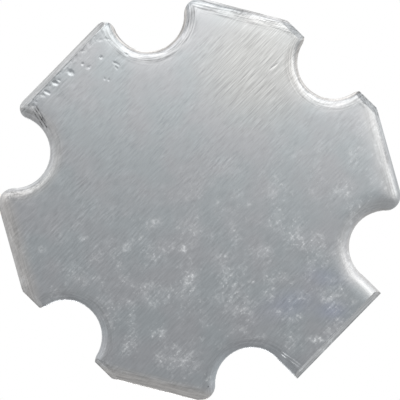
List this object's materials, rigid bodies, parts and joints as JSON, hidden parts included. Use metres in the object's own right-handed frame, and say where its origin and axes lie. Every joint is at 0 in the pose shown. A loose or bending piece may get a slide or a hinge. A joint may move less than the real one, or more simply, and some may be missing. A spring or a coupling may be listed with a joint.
{
  "type": "power led on a star board",
  "caption": "Star shaped aluminium circuit board with round screw notches that carries a domed power LED; its bare back sits on a heat sink.",
  "frame": {"origin": "centre of the bare aluminium back face", "axes": "+Z out of the lens, away from the back face; +X through a scored corner notch; +Y through the scored flat on the anode side"},
  "size_m": [0.0194, 0.02, 0.0074],
  "materials": {
    "aluminium": "mill finish, brushed, with stains and dents",
    "dielectric": "matt filled film",
    "copper": "bare foil",
    "mask": "satin white mask",
    "tin": "levelled tin",
    "solder": "reflowed solder",
    "slug": "silver plated copper",
    "housing": "moulded white plastic",
    "lead": "silver plated copper strip",
    "attach": "filled adhesive",
    "chip": "polished crystal",
    "gold": "drawn gold wire",
    "phosphor": "cured phosphor gel",
    "silicone": "clear gel",
    "lens": "polished clear moulding"
  },
  "bodies": {
    "root": {"aluminium_base": "aluminium", "dielectric_layer": "dielectric", "anode_copper": "copper", "cathode_copper": "copper", "thermal_copper": "copper", "solder_mask": "mask", "anode_wire_pads": "tin", "cathode_wire_pads": "tin", "slug_solder": "solder", "anode_solder": "solder", "cathode_solder": "solder", "heat_slug": "slug", "package_body": "housing", "anode_lead": "lead", "cathode_lead": "lead", "die_attach": "attach", "led_die": "chip", "anode_bond_wire": "gold", "cathode_bond_wire": "gold", "phosphor_fill": "phosphor", "silicone_fill": "silicone", "lens": "lens"}
  },
  "joints": []
}
